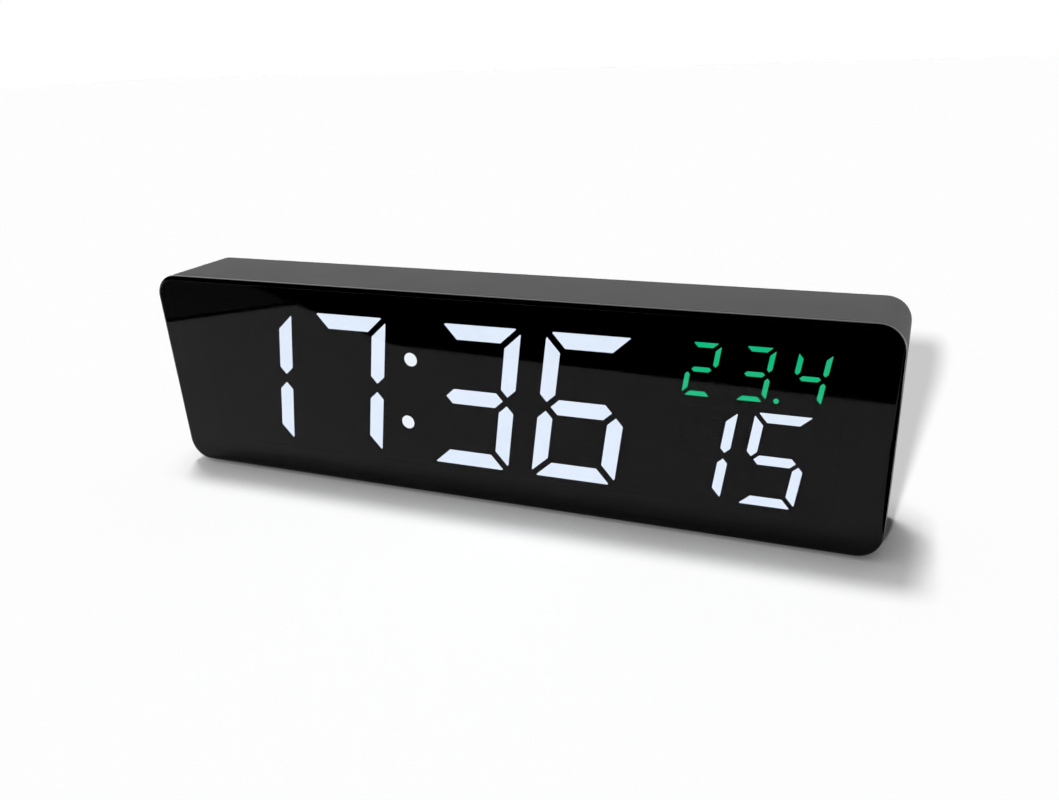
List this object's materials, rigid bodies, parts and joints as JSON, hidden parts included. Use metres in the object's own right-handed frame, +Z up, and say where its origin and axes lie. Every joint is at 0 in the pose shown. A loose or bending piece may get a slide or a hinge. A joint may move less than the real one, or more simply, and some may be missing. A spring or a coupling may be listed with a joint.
{
  "type": "digital desk clock",
  "caption": "Slim upright desk clock: glossy dark face, leaning lit digits for time, date and temperature, push keys, twist battery door and power socket at the back.",
  "frame": {"origin": "middle of the footprint, on the surface that the feet stand on", "axes": "+X to the right along the face as it is read, +Y to the back, +Z up; the face looks along -Y"},
  "size_m": [0.22, 0.0274, 0.0624],
  "materials": {
    "lens": "polished smoked acrylic",
    "tape": "black adhesive foam",
    "case": "fine-grained moulded charcoal",
    "rubber": "soft matt",
    "reflector": "black face over white funnels",
    "white_light": "lit translucent resin",
    "green_light": "lit translucent resin",
    "dark_segment": "unlit smoked resin",
    "light_chip": "moulded light chip",
    "board": "lacquered circuit board",
    "screw": "blackened steel",
    "cover": "fine-grained moulded charcoal",
    "door": "fine-grained moulded charcoal",
    "cell": "nickel-plated",
    "contact": "nickel-plated spring strip",
    "key": "satin",
    "plunger": "satin",
    "switch": "satin",
    "socket": "drawn bright shell",
    "tongue": "satin",
    "buzzer": "satin",
    "sensor": "dipped resin",
    "chip": "moulded resin",
    "crystal": "drawn can",
    "capacitor": "drawn can"
  },
  "bodies": {
    "case": {"front_lens": "lens", "lens_tape": "tape", "housing": "case", "feet": "rubber", "display_reflector": "reflector", "time_segments": "white_light", "colon_dots": "white_light", "date_segments": "white_light", "temperature_segments": "green_light", "unlit_segments": "dark_segment", "white_leds": "light_chip", "green_leds": "light_chip", "main_board": "board", "board_screws": "screw", "cover_screws": "screw", "rear_cover": "cover", "coin_cell": "cell", "cell_contact_minus": "contact", "cell_contact_plus": "contact", "switch_bases": "switch", "power_socket": "socket", "power_tongue": "tongue", "buzzer": "buzzer", "temperature_sensor": "sensor", "microcontroller": "chip", "driver_chips": "chip", "crystal": "crystal", "capacitors": "capacitor"},
    "mode_key": {"key_mode": "key", "plunger_mode": "plunger"},
    "up_key": {"key_up": "key", "plunger_up": "plunger"},
    "down_key": {"key_down": "key", "plunger_down": "plunger"},
    "alarm_key": {"key_alarm": "key", "plunger_alarm": "plunger"},
    "light_key": {"key_light": "key", "plunger_light": "plunger"},
    "battery_lid": {"battery_door": "door"}
  },
  "joints": [
    {"name": "mode_press", "type": "slide", "parent": "case", "child": "mode_key", "axis": [0, -1, 0], "range_m": [0, 0.0005], "stiffness_N_per_m": 1500},
    {"name": "up_press", "type": "slide", "parent": "case", "child": "up_key", "axis": [0, -1, 0], "range_m": [0, 0.0005], "stiffness_N_per_m": 1500},
    {"name": "down_press", "type": "slide", "parent": "case", "child": "down_key", "axis": [0, -1, 0], "range_m": [0, 0.0005], "stiffness_N_per_m": 1500},
    {"name": "alarm_press", "type": "slide", "parent": "case", "child": "alarm_key", "axis": [0, -1, 0], "range_m": [0, 0.0005], "stiffness_N_per_m": 1500},
    {"name": "light_press", "type": "slide", "parent": "case", "child": "light_key", "axis": [0, -1, 0], "range_m": [0, 0.0005], "stiffness_N_per_m": 1500},
    {"name": "door_twist", "type": "hinge", "parent": "case", "child": "battery_lid", "pos_m": [-0.042, 0.0125, 0.0316], "axis": [0, 1, 0], "range_deg": [0, 45]}
  ]
}
